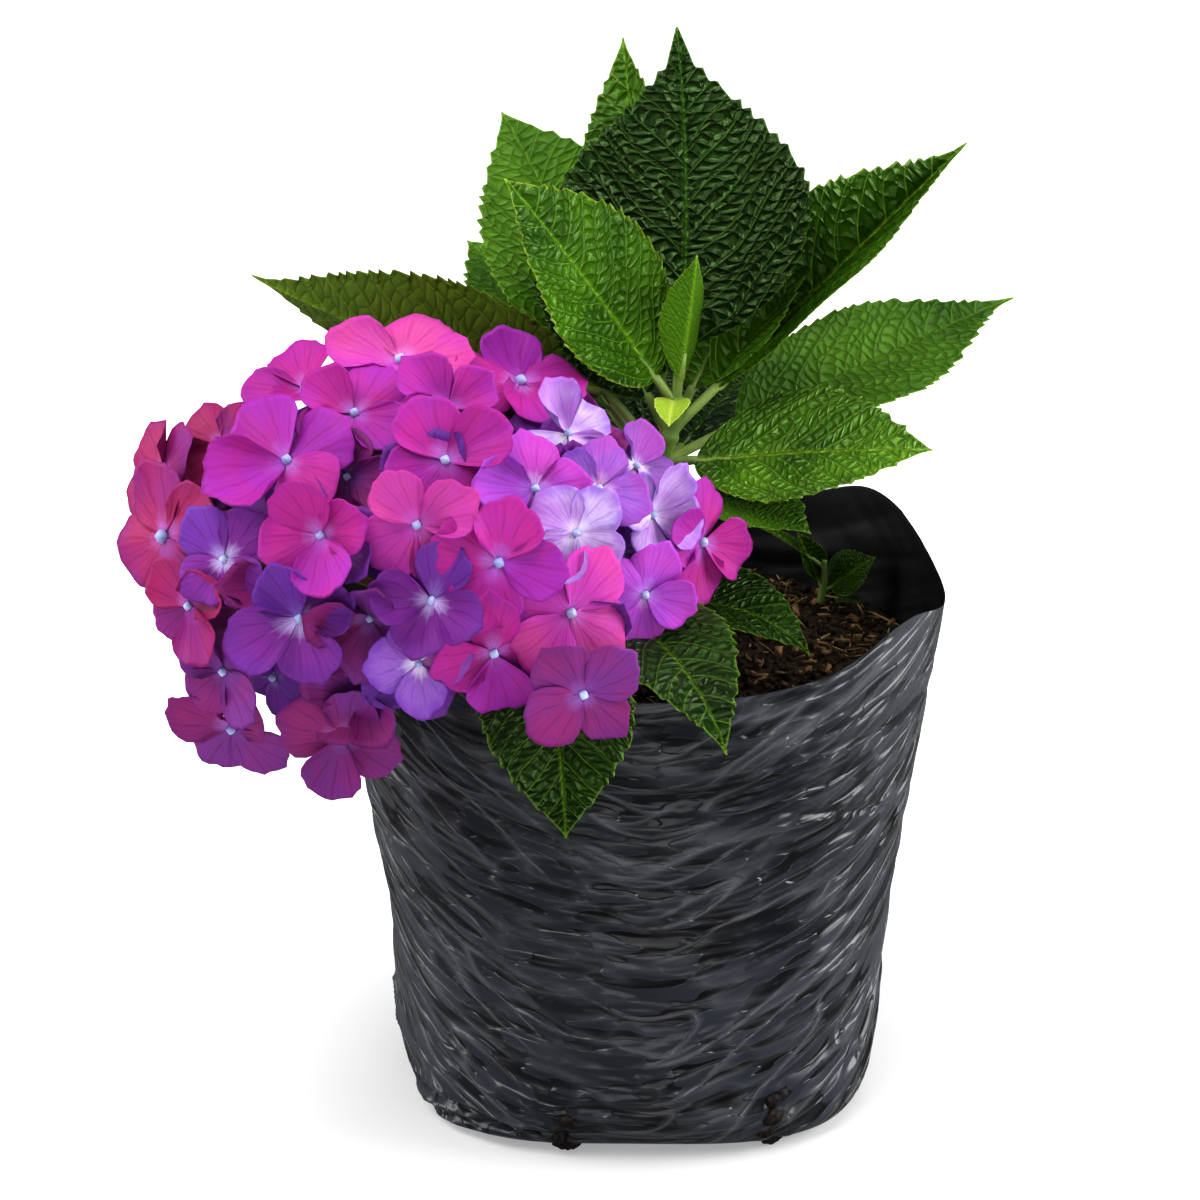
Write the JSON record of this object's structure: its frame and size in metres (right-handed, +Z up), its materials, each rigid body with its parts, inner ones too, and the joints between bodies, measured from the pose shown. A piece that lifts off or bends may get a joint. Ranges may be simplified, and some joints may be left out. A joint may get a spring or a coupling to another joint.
{
  "type": "potted hydrangea",
  "caption": "Mophead hydrangea in a black plastic grow bag: a leafy shoot of quilted green leaves and a large pink and violet flower head that leans over the rim.",
  "frame": {"origin": "middle of the flat underside of the grow bag", "axes": "+Z up, -Y towards the front of the plant that the flower head leans to, +X to the right seen from the front"},
  "size_m": [0.3365, 0.2633, 0.406],
  "materials": {
    "bag_film": "satin black polythene film, finely wrinkled",
    "potting_mix": "dark crumbly potting mix with bark chips and fibres",
    "woody_stem": "light brown bark with shallow furrows",
    "green_stem": "smooth green stem",
    "leaf": "glossy quilted green leaf, paler beneath",
    "blossom": "soft veined sepals, pink to violet"
  },
  "bodies": {
    "root": {"grow_bag": "bag_film", "soil": "potting_mix", "main_stem": "woody_stem", "leafy_stem": "green_stem", "flower_stem": "green_stem", "lower_leaves": "leaf", "upper_leaves": "leaf", "tip_leaves": "leaf", "flower_stem_leaves": "leaf", "flower_head": "blossom", "basal_shoot": "leaf"}
  },
  "joints": []
}
